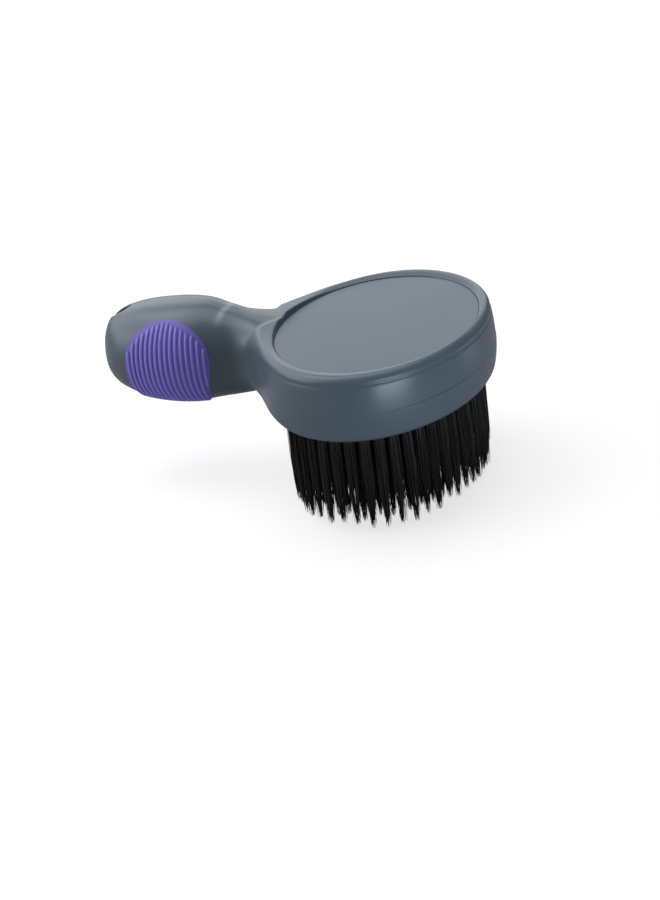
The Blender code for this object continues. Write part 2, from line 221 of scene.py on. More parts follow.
def makeFibre(name, look):
    # drawn fibre: near black, streaked along its length, each fibre a little different
    material = bpy.data.materials.new(name)
    material.use_nodes = True
    tree = material.node_tree
    shader = tree.nodes["Principled BSDF"]
    place = putNode(tree, "ShaderNodeTexCoord").outputs["Object"]
    stretch = putNode(tree, "ShaderNodeMapping")
    stretch.inputs["Scale"].default_value = (1.0, 1.0, look["stretch"])
    tree.links.new(place, stretch.inputs["Vector"])
    streak = noiseNode(tree, stretch.outputs["Vector"], look["streakScale"], 3.0, 0.6)
    tone = putNode(tree, "ShaderNodeAttribute", attribute_name="tone").outputs["Fac"]
    share = mathNode(tree, "MULTIPLY", mapRange(tree, streak, 0.35, 0.7, 0.3, 1.0), tone)
    tree.links.new(mixColour(tree, share, look["dark"], look["light"]), shader.inputs["Base Color"])
    tree.links.new(mapRange(tree, streak, 0.3, 0.7, *look["gloss"]), shader.inputs["Roughness"])
    bump = putNode(tree, "ShaderNodeBump")
    setInputs(bump, Strength=look["bump"], Distance=bumpDepth)
    tree.links.new(streak, bump.inputs["Height"])
    tree.links.new(bump.outputs["Normal"], shader.inputs["Normal"])
    return material


bumpDepth = 0.02 * mm
dustLook = {"tone": (0.55, 0.54, 0.52, 1), "dulling": 0.5}
finishes = {
    "slateShell": {
        "dark": (0.086, 0.121, 0.153, 1), "light": (0.095, 0.133, 0.167, 1),
        "rubTone": (0.17, 0.21, 0.24, 1), "rub": 0.25, "rubStart": 0.53, "rubReach": 0.62,
        "dust": 0.025, "gloss": (0.30, 0.36), "grainScale": 2400.0, "driftScale": 45.0,
        "bump": 0.25, "specular": 0.5,
        # painted highlight: a light band across the neck end of the handle, standing for the sheen on the
        # fold
        "streak": {"middle": headX - 57.8 * mm, "core": 0.2 * mm, "fadeOut": 1.7 * mm, "share": 0.55,
                   "startZ": 60 * mm, "fullZ": 63 * mm, "tone": (0.34, 0.41, 0.47, 1)}},
    "slatePanel": {
        "dark": (0.090, 0.127, 0.160, 1), "light": (0.100, 0.139, 0.174, 1),
        "rubTone": (0.17, 0.21, 0.24, 1), "rub": 0.25, "rubStart": 0.53, "rubReach": 0.62,
        "dust": 0.03, "gloss": (0.38, 0.46), "grainScale": 2200.0, "driftScale": 38.0,
        "bump": 0.3, "specular": 0.5},
    "violetGrip": {
        "dark": (0.320, 0.255, 0.790, 1), "light": (0.350, 0.280, 0.840, 1),
        "hollowShade": (0.195, 0.150, 0.560, 1),             # painted shade between the ribs
        "rubTone": (0.40, 0.33, 0.86, 1), "rub": 0.35, "rubStart": 0.52, "rubReach": 0.60,
        "dust": 0.03, "gloss": (0.46, 0.58), "grainScale": 1800.0, "driftScale": 70.0,
        "bump": 0.35, "specular": 0.4},
    "darkBlock": {
        "dark": (0.022, 0.024, 0.027, 1), "light": (0.034, 0.036, 0.040, 1),
        "rubTone": (0.06, 0.06, 0.07, 1), "rub": 0.4, "rubStart": 0.53, "rubReach": 0.62,
        "dust": 0.03, "gloss": (0.45, 0.6), "grainScale": 1600.0, "driftScale": 80.0,
        "bump": 0.4, "specular": 0.4},
}
fibreLook = {"dark": (0.004, 0.004, 0.005, 1), "light": (0.042, 0.036, 0.031, 1), "gloss": (0.32, 0.52),
             "bump": 0.2, "streakScale": 1500.0, "stretch": 0.03}
slateShell, slatePanel, violetGrip, darkBlock = [makePlastic(name, finishes[name]) for name in finishes]
blackFibre = makeFibre("blackFibre", fibreLook)
print("materials ready")


def addPiece(name, bm, material, nodes, levels=0, sharp=None):
    mesh = bpy.data.meshes.new(name)
    bm.to_mesh(mesh)
    bm.free()
    mesh.materials.append(material)
    mesh.shade_smooth()
    if sharp:
        mesh.set_sharp_from_angle(angle=math.radians(sharp))
    piece = bpy.data.objects.new(name, mesh)
    bpy.context.scene.collection.objects.link(piece)
    if levels:
        smooth = piece.modifiers.new("Smooth", "SUBSURF")
        smooth.levels = smooth.render_levels = levels
    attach(piece, "root")
    if nodes:
        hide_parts(*nodes)
    return piece


def ease(value):
    value = min(max(value, 0.0), 1.0)
    return value * value * (3 - 2 * value)


def startRing(bm, places):
    # closed ring of points, set out by create_circle and moved to its places
    ring = bmesh.ops.create_circle(bm, segments=len(places), radius=1.0)["verts"]
    for vert, place in zip(ring, places):
        vert.co = place
    return ring


def drawOn(bm, ring, places):
    # extrudes a ring and moves each new point to its place
    edges = [bm.edges.get(pair) for pair in zip(ring, ring[1:] + ring[:1])]
    made = bmesh.ops.extrude_edge_only(bm, edges=edges)["geom"]
    fresh = {item for item in made if isinstance(item, bmesh.types.BMVert)}
    newRing = []
    for vert, place in zip(ring, places):
        around = (edge.other_vert(vert) for edge in vert.link_edges)
        other = next(neighbour for neighbour in around if neighbour in fresh)
        other.co = place
        newRing.append(other)
    return newRing


def openRing(bm, near):
    # ordered points of the open edge nearest to a place
    first = min((v for v in bm.verts if v.is_boundary), key=lambda v: (v.co - Vector(near)).length)
    ring, edge = [first], next(e for e in first.link_edges if e.is_boundary)
    while True:
        vert = edge.other_vert(ring[-1])
        if vert is first:
            return ring
        ring.append(vert)
        edge = next(e for e in vert.link_edges if e.is_boundary and e is not edge)


def closeRing(bm, ring):
    edges = [bm.edges.get(pair) for pair in zip(ring, ring[1:] + ring[:1])]
    return bmesh.ops.holes_fill(bm, edges=edges, sides=0)["faces"]


def ovalPlace(halfLength, halfWidth, angle):
    return Vector((halfLength * math.cos(angle), halfWidth * math.sin(angle)))


body = {
    "halfLength": 38.5 * mm, "halfWidth": 51.5 * mm,    # head's oval, seen from above
    "bulge": 1.5 * mm,                                  # how far its wall swells
    "joinAngle": math.radians(130), "headSteps": 22,
    "crestZ": 60.0 * mm, "lipZ": 36.0 * mm,
    "crestRound": 2.6 * mm, "lipRound": 2.0 * mm,
    "recess": (35.3 * mm, 44.8 * mm), "recessDepth": 4.2 * mm, "recessRound": 0.55 * mm,
    "rimDrop": 0.60 * mm,                               # how far the rim slopes down to the recess
    "mouth": (34.2 * mm, 47.2 * mm), "mouthRound": 0.5 * mm, "ledge": 2.2 * mm, "wall": 2.2 * mm,
    "ceiling": 53.4 * mm,
    "groove": 0.26 * mm, "grooveWidth": 0.55 * mm,      # fine line below the rim
    "seamGap": 0.003 * mm, "seamRound": 0.02 * mm, "merge": 0.004 * mm,
    "ridge": -57.6 * mm, "ridgeHeight": 0.22 * mm, "ridgeWidth": 1.8 * mm,   # across the neck's flanks
    # handle stations: distance behind the head's middle, half width, top and bottom from the crest
    "stations": ((107.8, 0.0, -14.0, -14.0), (107.0, 5.8, -6.4, -19.0), (104.7, 11.2, -0.1, -23.0),
                 (99.6, 16.2, 2.8, -26.4), (92.0, 19.6, 4.7, -28.9), (83.5, 21.0, 5.7, -30.3),
                 (74.5, 20.7, 6.2, -30.9), (66.0, 18.4, 5.8, -30.6), (58.5, 15.3, 3.7, -29.5),
                 (51.5, 13.4, 1.9, -28.2), (45.5, 14.6, 1.1, -26.9), (40.8, 18.9, 0.6, -25.7),
                 (35.8, 25.6, 0.2, -24.7), (30.4, 33.0, 0.0, -24.2), (24.8, 39.4, 0.0, -24.0)),
    "splits": 4, "roundShare": 0.96, "power": 2.15,
    "blendStart": -60.5 * mm, "blendLength": 30.5 * mm,
    "bulgeStart": -40.0 * mm, "bulgeLength": 15.0 * mm,
    "neckStart": -56.0 * mm, "neckEnd": -45.0 * mm,
    "hole": -101.0 * mm, "holeRadius": 3.8 * mm, "holeRound": 0.6 * mm, "holeColumns": 16,
    "catchUp": 10.0 * mm,
    # where the rings lie: shares of the wall, of the stretch below the edge, of the edge and of the rim
    "wallStops": (0, 0.16, 0.36, 0.58, 0.76), "nearStops": (0.75, 0.5, 0.3, 0.12), "nearReach": 2.4 * mm,
    "edgeStops": (0.08, 0.22, 0.38, 0.54, 0.7, 0.86, 1.0), "rimStops": (0.25, 0.55, 0.85, 1.0),
    "bendWeight": 4 * mm,                               # draws the rings of the handle to its bends
}


def handleCurve(splits):
    # smooth run through the stations: along, half width, top, bottom
    rows = np.array([(-x, w, t, b) for x, w, t, b in body["stations"]]) * mm
    before = 2 * rows[0] - rows[1]
    before[0] = rows[1][0]
    padded = np.vstack([before, rows, 2 * rows[-1] - rows[-2]])
    curve = []
    for p0, p1, p2, p3 in zip(padded, padded[1:], padded[2:], padded[3:]):
        for k in range(splits):
            t = k / splits
            curve.append(0.5 * (2 * p1 + (p2 - p0) * t + (2 * p0 - 5 * p1 + 4 * p2 - p3) * t ** 2
                                + (3 * p1 - p0 - 3 * p2 + p3) * t ** 3))
    curve.append(rows[-1])
    return np.array(curve)


curveFine = handleCurve(12)


def skinHeight(x, y, side):
    # height of the handle's skin above or below the seam at a place seen from above
    sign, column = (1, 2) if side == "top" else (-1, 3)
    width = max(np.interp(x, curveFine[:, 0], curveFine[:, 1]), 1e-6)
    level = body["crestZ"] + np.interp(x, curveFine[:, 0], curveFine[:, column])
    off = max(abs(y) / width - 1 + body["roundShare"], 0.0) / body["roundShare"]
    power = body["power"]
    return seamZ + sign * max(sign * (level - seamZ), 0.0) * max(1 - off ** power, 0.0) ** (1 / power)


def makeColumns(side):
    # one column per outline point: where it starts, where it ends, and how it rounds over
    curve = handleCurve(body["splits"])
    along, levels = curve[:, 0], body["crestZ"] + (curve[:, 2] if side == "top" else curve[:, 3])
    headLevel = body["crestZ"] if side == "top" else body["lipZ"]
    edge = body["crestRound"] if side == "top" else body["lipRound"]
    rim = body["recess"] if side == "top" else body["mouth"]
    grow = body["recessRound"] if side == "top" else body["mouthRound"]
    inner = (rim[0] + grow, rim[1] + grow)
    ringRadius = body["holeRadius"] + body["holeRound"]
    flare = [i for i, x in enumerate(along) if x > body["neckEnd"]]
    neck = [i for i, x in enumerate(along) if body["neckStart"] < x <= body["neckEnd"]]
    columns = []
    for i, (x, width) in enumerate(curve[:, :2]):
        outer = Vector((x, width))
        end = Vector((x, 0.0))
        heart = Vector((max(x, body["hole"]), 0.0))
        if i <= body["holeColumns"]:
            turn = math.pi * (1 - i / body["holeColumns"])
            end = Vector((body["hole"] + ringRadius * math.cos(turn), ringRadius * math.sin(turn)))
        elif i < neck[0]:
            lag = along[body["holeColumns"]] - body["hole"] - ringRadius
            run = (x - along[body["holeColumns"]]) / body["catchUp"]
            end.x = x - lag * (1 - ease(run))
        elif i in neck:
            share = (i - neck[0] + 1) / len(neck)
            start = along[neck[0] - 1]
            end.x = start + (-inner[0] - start) * share
            heart = end
        level = np.interp(end.x, along, levels)
        if i in flare:
            share = (i - flare[0] + 1) / len(flare)
            end = ovalPlace(*inner, math.pi + (body["joinAngle"] - math.pi) * share)
            heart = end
            level = levels[i] + (headLevel - levels[i]) * ease(share)
        blend = ease((x - body["blendStart"]) / body["blendLength"])
        columns.append({
            "outer": outer, "end": end, "level": level, "blend": blend,
            "skin": x < body["hole"] + 2 * body["catchUp"],
            "across": body["roundShare"] * (heart - outer).length * (1 - blend) + edge * blend,
            "rise": abs(level - seamZ) * (1 - blend) + edge * blend,
            "power": body["power"] * (1 - blend) + 2 * blend,
            "head": ease((x - body["bulgeStart"]) / body["bulgeLength"]),
        })
    for k in range(1, body["headSteps"] + 1):
        angle = body["joinAngle"] * (1 - k / body["headSteps"])
        columns.append({
            "outer": ovalPlace(body["halfLength"], body["halfWidth"], angle),
            "end": ovalPlace(*inner, angle), "level": headLevel, "blend": 1.0, "across": edge,
            "rise": edge, "power": 2, "head": 1.0, "skin": False})
    return columns


def columnPlaces(column, side):
    # points of one column from the seam over the edge to its inner end
    sign = 1 if side == "top" else -1
    length = (column["end"] - column["outer"]).length
    inward = (column["end"] - column["outer"]).normalized()
    power = 2 / column["power"]
    shoulder = column["level"] - sign * column["rise"]
    lastTurn = math.pi / 2
    if column["across"] > length:
        lastTurn = math.acos(max(1 - length / column["across"], 0.0) ** (1 / power))
    wall = np.linspace(0, 1, 25)[:-1]
    turns = np.linspace(0, lastTurn, 60)
    insets = np.concatenate([0 * wall, column["across"] * (1 - np.maximum(np.cos(turns), 0) ** power)])
    heights = np.concatenate([seamZ + (shoulder - seamZ) * wall,
                              shoulder + sign * column["rise"] * np.sin(turns) ** power])
    plateau = np.linspace(insets[-1], length, 12)[1:] if length > insets[-1] + 1e-6 else []
    drop = body["rimDrop"] * column["head"] if side == "top" else 0.0
    share = (np.array(plateau) - insets[-1]) / max(length - insets[-1], 1e-6)
    heights = np.concatenate([heights, heights[-1] - drop * share ** 2])
    insets = np.concatenate([insets, plateau])
    if column["skin"]:
        insets = length * np.linspace(0, 1, 140) ** 2
        spots = [column["outer"] + inward * inset for inset in insets]
        heights = np.array([seamZ] + [skinHeight(spot.x, spot.y, side) for spot in spots[1:]])
    steps = np.hypot(np.diff(insets), np.diff(heights))
    keep = np.concatenate([[True], steps > 1e-9])
    insets, heights = insets[keep], heights[keep]
    slope = np.unwrap(np.arctan2(np.diff(heights), np.diff(insets)))
    bend = np.concatenate([[0], np.abs(np.diff(slope))])
    steps = np.hypot(np.diff(insets), np.diff(heights)) + body["bendWeight"] * bend
    measure = np.concatenate([[0], np.cumsum(steps)])

    def reach(height):
        return float(np.interp(sign * height, np.maximum.accumulate(sign * heights), measure))

    edgeStart, edgeEnd = reach(shoulder), reach(column["level"] - sign * 0.01 * mm)
    near = min(body["nearReach"], 0.4 * abs(shoulder - seamZ))
    stops = [edgeStart * part for part in body["wallStops"]]
    stops += [reach(shoulder - sign * near * part) for part in body["nearStops"]]
    stops += [edgeStart + (edgeEnd - edgeStart) * part for part in body["edgeStops"]]
    stops += [edgeEnd + (measure[-1] - edgeEnd) * part for part in body["rimStops"]]
    even = np.linspace(0, measure[-1], len(stops))
    at = even * (1 - column["blend"]) + np.maximum.accumulate(stops) * column["blend"]
    insets, heights = np.interp(at, measure, insets), np.interp(at, measure, heights)
    span = abs(column["level"] - seamZ)
    places = []
    for inset, z in zip(insets, heights):
        swell = body["bulge"] * column["head"] * max(0.0, 1 - ((z - seamZ) / span) ** 2)
        if side == "top":
            dip = math.exp(-((z - shoulder + 0.5 * mm) / body["grooveWidth"]) ** 2)
            swell -= body["groove"] * column["head"] * dip * ease((1.6 * mm - inset) / mm)
        place = column["outer"] + inward * (inset - swell)
        if side == "top":
            ridge = math.exp(-((place.x - body["ridge"]) / body["ridgeWidth"]) ** 2)
            ridge *= ease((z - seamZ) / (8 * mm)) * ease(place.y / (4 * mm))
            z += body["ridgeHeight"] * ridge
        places.append(Vector((headX + place.x, place.y, z)))
    return places


def roundHalf(items, mirror):
    return items + [mirror(item) for item in items[-2:0:-1]]


def flipY(place):
    return Vector((place.x, -place.y, place.z))


def makeShell(name, side, node):
    # the skin grows from a ring at the seam to the openings, and the flat joint face grows inwards from it
    sign = 1 if side == "top" else -1
    columns = makeColumns(side)
    half = [columnPlaces(column, side) for column in columns]
    levels = [roundHalf(list(row), flipY) for row in zip(*half)]
    faceZ = seamZ + sign * body["seamGap"]
    bm = bmesh.new()
    outline = levels[0]
    inward = roundHalf([(c["end"] - c["outer"]).normalized().to_3d() for c in columns], flipY)
    rounded = body["seamRound"]
    ring = startRing(bm, [Vector((p.x, p.y, faceZ + sign * rounded)) for p in outline])
    skin = ring
    for row in [[Vector((p.x, p.y, faceZ + sign * 3 * rounded)) for p in outline]] + levels[1:]:
        skin = drawOn(bm, skin, row)
    flat = ring
    for reach in (rounded, 3 * rounded):
        flat = drawOn(bm, flat, [Vector((p.x, p.y, faceZ)) + s * reach for p, s in zip(outline, inward)])
    ends = roundHalf([Vector((headX + c["end"].x, c["end"].y, faceZ)) for c in columns], flipY)
    drawOn(bm, flat, ends)
    bmesh.ops.remove_doubles(bm, verts=bm.verts, dist=body["merge"])
    finishHole(bm, sign, faceZ)
    if side == "top":
        finishRecess(bm)
    else:
        finishMouth(bm, faceZ)
    bmesh.ops.recalc_face_normals(bm, faces=bm.faces)
    return addPiece(name, bm, slateShell, [node], levels=2)


def bridgeRings(bm, *rings):
    edges = [bm.edges.get(pair) for ring in rings for pair in zip(ring, ring[1:] + ring[:1])]
    bmesh.ops.bridge_loops(bm, edges=edges)


def moveRing(bm, ring, move):
    return drawOn(bm, ring, [move(vert.co) for vert in ring])


def finishHole(bm, sign, faceZ):
    # rounds the mouth of the hang hole and runs its wall to the seam
    centre = Vector((headX + body["hole"], 0, 0))
    radius, rounded = body["holeRadius"], body["holeRound"]
    ring = openRing(bm, centre + Vector((0, 0, seamZ + sign * 14 * mm)))

    def inwards(size, depth):
        def move(co):
            out = Vector((co.x - centre.x, co.y - centre.y, 0)).normalized()
            return centre + out * size + Vector((0, 0, co.z - sign * depth))
        return move

    for turn in (30, 60, 90):
        before = rounded * (1 - math.cos(math.radians(turn - 30)))
        size = radius + rounded * (1 - math.sin(math.radians(turn)))
        ring = moveRing(bm, ring, inwards(size, rounded * (1 - math.cos(math.radians(turn))) - before))
    ring = moveRing(bm, ring, inwards(radius, 2 * mm))
    for height in (0.5 * mm, 0.05 * mm):
        ring = drawOn(bm, ring, [Vector((v.co.x, v.co.y, faceZ + sign * height)) for v in ring])
    low = openRing(bm, (centre.x + radius + rounded, 0, faceZ))
    middle = Vector((centre.x, 0, faceZ))
    for size in (radius + 0.05 * mm, radius):
        low = drawOn(bm, low, [middle + (v.co - middle).normalized() * size for v in low])
    bridgeRings(bm, ring, low)


def ovalMove(bm, ring, halfLength, halfWidth, z):
    # next ring on another oval, each point keeping its angle round the head
    places = []
    for vert in ring:
        angle = math.atan2(vert.co.y / halfWidth, (vert.co.x - headX) / halfLength)
        flat = ovalPlace(halfLength, halfWidth, angle)
        places.append(Vector((headX + flat.x, flat.y, z)))
    return drawOn(bm, ring, places)


def finishRecess(bm):
    # recess for the panel, and the ceiling of the hollow below it
    length, width = body["recess"]
    rounded = body["recessRound"]
    edgeZ = body["crestZ"] - body["rimDrop"]
    ring = openRing(bm, (headX + length, 0, body["crestZ"]))
    for turn in (35, 65, 90):
        out = rounded * (1 - math.sin(math.radians(turn)))
        z = edgeZ - rounded * (1 - math.cos(math.radians(turn)))
        ring = ovalMove(bm, ring, length + out, width + out, z)
    floor = body["crestZ"] - body["recessDepth"]
    ring = ovalMove(bm, ring, length, width, floor + 1.2 * mm)
    ring = ovalMove(bm, ring, length, width, floor + 0.1 * mm)
    ring = ovalMove(bm, ring, length - 0.1 * mm, width - 0.1 * mm, floor)
    ring = ovalMove(bm, ring, length - 2 * mm, width - 2 * mm, floor)
    closeRing(bm, ring)
    ring = openRing(bm, (headX + length, 0, seamZ))
    ring = ovalMove(bm, ring, length, width, seamZ + 1 * mm)
    ring = ovalMove(bm, ring, length, width, body["ceiling"] - 0.5 * mm)
    ring = ovalMove(bm, ring, length - 0.5 * mm, width - 0.5 * mm, body["ceiling"])
    closeRing(bm, ring)


def finishMouth(bm, faceZ):
    # rounds the mouth, then the ledge under the tuft block and the inside of the wall
    length, width = body["mouth"]
    rounded = body["mouthRound"]
    ring = openRing(bm, (headX + length, 0, body["lipZ"]))
    for turn in (35, 65, 90):
        out = rounded * (1 - math.sin(math.radians(turn)))
        z = body["lipZ"] + rounded * (1 - math.cos(math.radians(turn)))
        ring = ovalMove(bm, ring, length + out, width + out, z)
    top = body["lipZ"] + body["ledge"]
    ring = ovalMove(bm, ring, length, width, top - 0.1 * mm)
    ring = ovalMove(bm, ring, length + 0.1 * mm, width + 0.1 * mm, top)
    inLength, inWidth = body["halfLength"] - body["wall"], body["halfWidth"] - body["wall"]
    ring = ovalMove(bm, ring, inLength - 0.1 * mm, inWidth - 0.1 * mm, top)
    ring = ovalMove(bm, ring, inLength, inWidth, top + 0.1 * mm)
    ring = ovalMove(bm, ring, inLength, inWidth, faceZ - 1 * mm)
    bridgeRings(bm, ring, openRing(bm, (headX + length, 0, faceZ)))


makeShell("upperShell", "top", "upper_shell")
makeShell("lowerShell", "bottom", "lower_shell")
print("shells ready")


panel = {"gap": 0.05 * mm, "lift": 0.25 * mm, "edge": 0.3 * mm, "crown": 0.25 * mm, "sides": 96,
         "rings": (0.93, 0.8, 0.6, 0.35, 0.15)}


def makePanel():
    # oval plate with a rolled edge and a slight crown
    length, width = body["recess"][0] - panel["gap"], body["recess"][1] - panel["gap"]
    low, high, edge = panelLow.z, panelHigh.z + panel["lift"], panel["edge"]
    turns = [2 * math.pi * k / panel["sides"] for k in range(panel["sides"])]
    bm = bmesh.new()

    def oval(halfLength, halfWidth, z):
        return [Vector((headX, 0, z)) + ovalPlace(halfLength, halfWidth, turn).to_3d() for turn in turns]

    def ring(inset, z):
        return oval(length - inset, width - inset, z)

    last = startRing(bm, ring(edge, low))
    closeRing(bm, last)
    last = drawOn(bm, last, ring(0, low + edge))
    last = drawOn(bm, last, ring(0, high - edge))
    for turn in (25, 50, 75, 90):
        angle = math.radians(turn)
        last = drawOn(bm, last, ring(edge * (1 - math.cos(angle)), high - edge * (1 - math.sin(angle))))
    for share in panel["rings"]:
        z = high + panel["crown"] * (1 - share ** 2)
        last = drawOn(bm, last, oval((length - edge) * share, (width - edge) * share, z))
    closeRing(bm, last)
    bmesh.ops.recalc_face_normals(bm, faces=bm.faces)
    return addPiece("backPanel", bm, slatePanel, ["back_panel"], levels=1)


makePanel()
print("panel ready")


grip = {
    "middle": -76.3 * mm, "height": 49.2 * mm, "halfLength": 16.2 * mm, "rise": 14.1 * mm,
    "backFoot": 17.6 * mm, "frontFoot": 10.4 * mm,      # reach along the belly
    "proud": 0.60 * mm, "field": 0.08 * mm, "sink": 0.8 * mm,
    "border": 0.85 * mm, "edge": 0.35 * mm,
    "ribs": 16, "ribPitch": 1.92 * mm, "ribWidth": 1.10 * mm, "ribHeight": 0.86 * mm,
    "ribClear": -0.35 * mm,                             # room between a rib's end and the border
    "ribBow": 0.10,                                     # how far ribs draw in towards their ends
    "ribEnd": 1.2 * mm, "ribBuried": 0.3 * mm, "shortestRib": 2.0 * mm,
    "archSteps": 24, "sideSteps": 12, "longRibSteps": 44, "shortRibSteps": 26,
    "cutAround": 1.5 * mm, "cutAlong": 2.0 * mm,        # spacing of the cuts that let it bend
    "sectionStep": 0.05 * mm, "reachStep": 0.4 * mm,
}
sections = {}


def handleSection(x):
    # half section of the handle at x, from the belly's middle up to the top's middle, with its run
    key = round(x / grip["sectionStep"])
    if key not in sections:
        x = key * grip["sectionStep"]
        width, top, bottom = [np.interp(x, curveFine[:, 0], curveFine[:, k]) for k in (1, 2, 3)]
        across = body["roundShare"] * width
        power = 2 / body["power"]
        turns = np.linspace(0, math.pi / 2, 60)
        inset = across * (1 - np.maximum(np.cos(turns), 0) ** power)
        lift = np.sin(turns) ** power
        lowRise, highRise = seamZ - body["crestZ"] - bottom, body["crestZ"] + top - seamZ
        y = np.concatenate([[0], (width - inset)[::-1], (width - inset)[1:], [0]])
        low, high = seamZ - lowRise * lift, seamZ + highRise * lift
        z = np.concatenate([[seamZ - lowRise], low[::-1], high[1:], [seamZ + highRise]])
        run = np.concatenate([[0], np.cumsum(np.hypot(np.diff(y), np.diff(z)))])
        sections[key] = (y, z, run)
    return sections[key]


def onHandle(x, run):
    # place on the handle's skin, run metres round from the middle of the belly
    y, z, runs = handleSection(x)
    place = np.array([np.interp(abs(run), runs, y), np.interp(abs(run), runs, z)])
    return Vector((headX + x, math.copysign(place[0], run), place[1]))


def wrapPoint(flat):
    # lays a point of the flat grip on the handle: x along, y round it, z out from the skin
    step = grip["reachStep"]
    x, run = flat.x, flat.y
    place = onHandle(x, run)
    alongX = onHandle(x + step, run) - onHandle(x - step, run)
    around = onHandle(x, run + step) - onHandle(x, run - step)
    return place + around.cross(alongX).normalized() * flat.z


def gripRun(x, height):
    # run round the skin at which the section at x reaches a height
    z, runs = handleSection(x)[1:]
    return float(np.interp(height, z, runs))


def gripOutline():
    # flat outline: two arches, one on each flank, joined along the belly
    arch = []
    for k in range(2 * grip["archSteps"] + 1):
        turn = math.pi / 2 * k / grip["archSteps"]
        x = grip["middle"] + grip["halfLength"] * math.cos(turn)
        arch.append((x, gripRun(x, grip["height"] + grip["rise"] * math.sin(turn))))
    sides = []
    for sign, foot, top in ((1, grip["frontFoot"], arch[0][1]), (-1, grip["backFoot"], arch[-1][1])):
        side = []
        for k in range(grip["sideSteps"]):
            share = k / grip["sideSteps"]
            x = grip["middle"] + sign * (foot + (grip["halfLength"] - foot) * ease(share))
            side.append((x, top * share))
        sides.append(side)
    upper = sides[0] + arch + sides[1][::-1]
    lower = [(x, -run) for x, run in upper[-2:0:-1]]
    return upper + lower


def layRib(bm, x, start, stop, lowest, highest):
    # one rib: a rounded bar with round ends from start to stop, bowed over the grip's whole height
    half, height = grip["ribWidth"] / 2, grip["ribHeight"]
    steps = grip["longRibSteps"] if start < 0 else grip["shortRibSteps"]
    ring = None
    for k in range(steps + 1):
        run = start + (stop - start) * k / steps
        near = min(run - start, stop - run, grip["ribEnd"]) / grip["ribEnd"]
        swell = math.sqrt(max(1 - (1 - near) ** 2, 0.0004))
        off = (abs(run) - (lowest + highest) / 2) / (highest - lowest)
        middle = grip["middle"] + (x - grip["middle"]) * (1 - 4 * grip["ribBow"] * off ** 2)
        profile = []
        for turn in (math.pi * j / 8 for j in range(9)):
            z = grip["field"] - 0.1 * mm + height * swell * math.sin(turn) ** 0.9
            profile.append(Vector((middle + half * swell * math.cos(turn), run, z)))
        profile += [Vector((middle + side * half * swell, run, -grip["ribBuried"])) for side in (-1, 1)]
        if ring is None:
            ring = startRing(bm, profile)
            closeRing(bm, ring)
        else:
            ring = drawOn(bm, ring, profile)
    closeRing(bm, ring)


def insetTo(bm, faces, depth, height):
    # insets the faces as one and sets them at a height
    bmesh.ops.inset_region(bm, faces=faces, thickness=depth, use_even_offset=True)
    for vert in {v for face in faces for v in face.verts}:
        vert.co.z = height


def cutAcross(bm, geom, place, normal):
    bmesh.ops.bisect_plane(bm, geom=geom, dist=1e-6, plane_co=place, plane_no=normal)


def makeGrip():
    # flat relief of border, field and ribs, cut fine enough to bend and then laid on the handle
    bm = bmesh.new()
    outline = gripOutline()
    ring = startRing(bm, [Vector((x, run, 0)) for x, run in outline])
    faces = closeRing(bm, ring)
    proud, field, edge = grip["proud"], grip["field"], grip["edge"]
    for depth, share in ((0.3 * edge, 0.72), (0.35 * edge, 0.93), (0.35 * edge, 1.0)):
        insetTo(bm, faces, depth, proud * share)
    insetTo(bm, faces, grip["border"] - edge, proud)
    for depth, share in ((0.15 * mm, 0.8), (0.2 * mm, 0.1), (0.15 * mm, 0.0)):
        insetTo(bm, faces, depth, field + (proud - field) * share)
    lowest = min(run for x, run in outline)
    cuts = int(-lowest / grip["cutAround"])
    for k in range(-cuts, cuts + 1):
        cutAcross(bm, bm.verts[:] + bm.edges[:] + bm.faces[:], (0, k * grip["cutAround"], 0), (0, 1, 0))
    along = int(grip["halfLength"] / grip["cutAlong"]) - 1
    for k in range(-along, along + 1):
        place = (grip["middle"] + k * grip["cutAlong"], 0, 0)
        cutAcross(bm, bm.verts[:] + bm.edges[:] + bm.faces[:], place, (1, 0, 0))
    rim = openRing(bm, (grip["middle"] + grip["frontFoot"], 0, 0))
    rim = drawOn(bm, rim, [Vector((v.co.x, v.co.y, -grip["sink"])) for v in rim])
    bottom = closeRing(bm, rim)
    bmesh.ops.triangulate(bm, faces=bottom)
    for k in range(-cuts, cuts + 1):
        low = [f for f in bm.faces if all(v.co.z < -0.5 * mm for v in f.verts)]
        geom = low + list({e for f in low for e in f.edges}) + list({v for f in low for v in f.verts})
        cutAcross(bm, geom, (0, k * grip["cutAround"], 0), (0, 1, 0))
    seamRun = gripRun(grip["middle"], grip["height"])
    arch = sorted((x, run) for x, run in outline if run > seamRun - 1 * mm)
    front = sorted((x, run) for x, run in outline if -1e-6 < run < seamRun and x > grip["middle"])
    room = grip["border"] + grip["ribClear"]
    highest = max(run for x, run in arch) - room
    for k in range(grip["ribs"]):
        x = grip["middle"] + (k - (grip["ribs"] - 1) / 2) * grip["ribPitch"]
        stop = min(np.interp(x + side * grip["ribWidth"] / 2, *zip(*arch)) for side in (-1, 1)) - room
        start = np.interp(x + 0.6 * room, *zip(*front))
        if x + room < front[0][0]:            # a whole rib, from flank to flank under the belly
            layRib(bm, x, -stop, stop, 0.2 * highest, highest)
        elif stop - start > grip["shortestRib"]:
            layRib(bm, x, start, stop, 0.2 * highest, highest)
            layRib(bm, x, -stop, -start, 0.2 * highest, highest)
    bmesh.ops.recalc_face_normals(bm, faces=bm.faces)
    hollow = bm.verts.layers.float.new("hollow")     # how deep a point lies between the ribs, which sets the painted shade there
    for vert in bm.verts:
        vert[hollow] = min(max((proud - vert.co.z) / (proud - field), 0.0), 1.0)
        vert.co = wrapPoint(vert.co)
    bmesh.ops.reverse_faces(bm, faces=bm.faces)      # the wrap runs the other way round than the flat relief
    return addPiece("gripSaddle", bm, violetGrip, ["grip_saddle"], sharp=50)


makeGrip()
print("grip ready")


